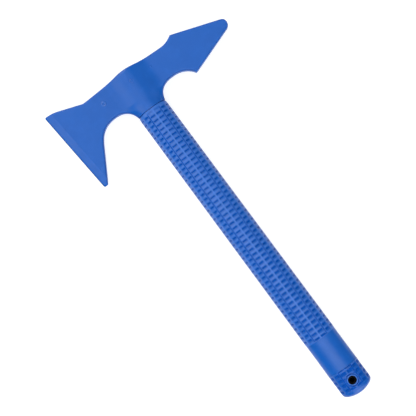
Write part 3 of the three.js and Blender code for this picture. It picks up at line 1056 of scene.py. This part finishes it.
def make_backdrop():
    """A white dome behind everything. Only the camera sees it, so it gives no light or reflection."""
    steps = 96
    profile = [(BACKDROP_RADIUS, -0.01)]
    for k in range(24):
        turn = math.radians(90 * k / 24)
        profile.append((BACKDROP_RADIUS * math.cos(turn), BACKDROP_RADIUS * math.sin(turn)))
    profile.append((0.02, BACKDROP_RADIUS))
    points = []
    faces = []
    for i in range(steps):
        angle = 2 * math.pi * i / steps
        points += [(r * math.cos(angle), r * math.sin(angle), z) for r, z in profile]
    count = len(profile)
    for i in range(steps):
        here, after = i * count, (i + 1) % steps * count
        faces += [(here + k, here + k + 1, after + k + 1, after + k) for k in range(count - 1)]
    dome = add_object("studio_backdrop", points, faces)
    material, tree, shader = new_material("white_backdrop")
    shader.inputs["Base Color"].default_value = (0.0, 0.0, 0.0, 1.0)
    shader.inputs["Specular IOR Level"].default_value = 0.0
    shader.inputs["Emission Color"].default_value = WHITE
    shader.inputs["Emission Strength"].default_value = 1.0
    give(dome, material)
    dome.visible_diffuse = False
    dome.visible_glossy = False
    dome.visible_transmission = False
    dome.visible_shadow = False


def make_camera():
    """Looks almost straight down, with the handle running from upper left to lower right."""
    data = bpy.data.cameras.new("camera")
    data.lens = CAMERA_LENS
    data.sensor_width = SENSOR_WIDTH
    data.clip_start = 0.01
    data.clip_end = 50.0
    obj = bpy.data.objects.new("camera", data)
    bpy.context.scene.collection.objects.link(obj)
    low, high = cad_box
    middle = (low + high) / 2
    place = middle + Vector(CAMERA_PLACE) * MM
    target = middle + Vector(CAMERA_TARGET) * MM
    back = (place - target).normalized()
    turn = math.radians(CAMERA_ROLL)
    right = Vector((math.cos(turn), -math.sin(turn), 0))
    right = (right - back * right.dot(back)).normalized()
    up = back.cross(right)
    rotation = Matrix((right, up, back)).transposed()
    obj.matrix_world = Matrix.Translation(place) @ rotation.to_4x4()
    bpy.context.scene.camera = obj


# ---------- the scene ----------

head = make_head()
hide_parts("head")
sleeve = make_sleeve()
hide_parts("grip_sleeve")
band = make_band()
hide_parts("grip_band")
butt = make_butt()
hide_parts("butt_cap")
bush = make_bush()
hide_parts("lanyard_bush")
pin = make_pin()
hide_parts("head_pin")
for piece in (head, sleeve, band, butt, bush, pin):
    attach(piece, "root")

smooth_blue = plastic("blue_satin", HEAD_DEEP, HEAD_LIGHT, 0.3, 0.37, 0.2)
# the head's material paints shade along its edges and wall and a highlight on its parting line and mould
# marks
head_blue = plastic(
    "blue_head", HEAD_DEEP, HEAD_LIGHT, 0.3, 0.38, 0.2,
    relief=(EDGE_AND_WALL_PAINTED_SHADE, LINE_AND_MARK_PAINTED_HIGHLIGHT),
)
wall_blue = plastic(
    "blue_wall", HEAD_DEEP, HEAD_LIGHT, 0.5, 0.6, 0.3,
    specks=False,
    relief=(EDGE_AND_WALL_PAINTED_SHADE, LINE_AND_MARK_PAINTED_HIGHLIGHT),
    gloss=0.1,
)
# the grip's materials paint shade in the pockets and below the lanyard hole's boss, and a highlight on
# the ribs and the boss
grip_blue = plastic(
    "blue_textured", BLUE_DEEP, BLUE_LIGHT, 0.3, 0.38, 0.3,
    specks=False,
    relief=(POCKET_PAINTED_SHADE, RIB_PAINTED_HIGHLIGHT),
)
pocket_blue = plastic(
    "blue_pocket", BLUE_DEEP, BLUE_LIGHT, 0.5, 0.6, 0.3,
    specks=False,
    relief=(POCKET_PAINTED_SHADE, RIB_PAINTED_HIGHLIGHT),
    gloss=0.1,
)
core_black = plastic(
    "black_nylon", (0.008, 0.008, 0.009, 1.0), (0.014, 0.014, 0.016, 1.0), 0.5, 0.65, 0.5,
)
# Painted shade: the bush is near black and matt, standing in for the shade inside the lanyard hole.
bush_painted_shade = plastic(
    "black_hole_shade", (0.003, 0.003, 0.004, 1.0), (0.005, 0.005, 0.006, 1.0), 0.8, 0.9, 0.3,
    specks=False,
    gloss=0.08,
)
give(head, head_blue, wall_blue, wall_faces(head))
give(pin, smooth_blue)
give(band, smooth_blue)
give(sleeve, grip_blue, pocket_blue, pocket_faces(sleeve))
give(butt, grip_blue, pocket_blue, pocket_faces(butt))
give(bush, bush_painted_shade)
frame["nodes"]["handle_core"].data.materials.clear()
frame["nodes"]["handle_core"].data.materials.append(core_black)

make_floor()
for softbox in SOFTBOXES:
    area_light(*softbox)
make_backdrop()
world = bpy.data.worlds.new("studio")
world.use_nodes = True
backdrop = next(n for n in world.node_tree.nodes if n.type == "BACKGROUND")
backdrop.inputs["Color"].default_value = WHITE
backdrop.inputs["Strength"].default_value = WORLD_STRENGTH
bpy.context.scene.world = world
bpy.context.scene.view_settings.view_transform = "Standard"
make_camera()
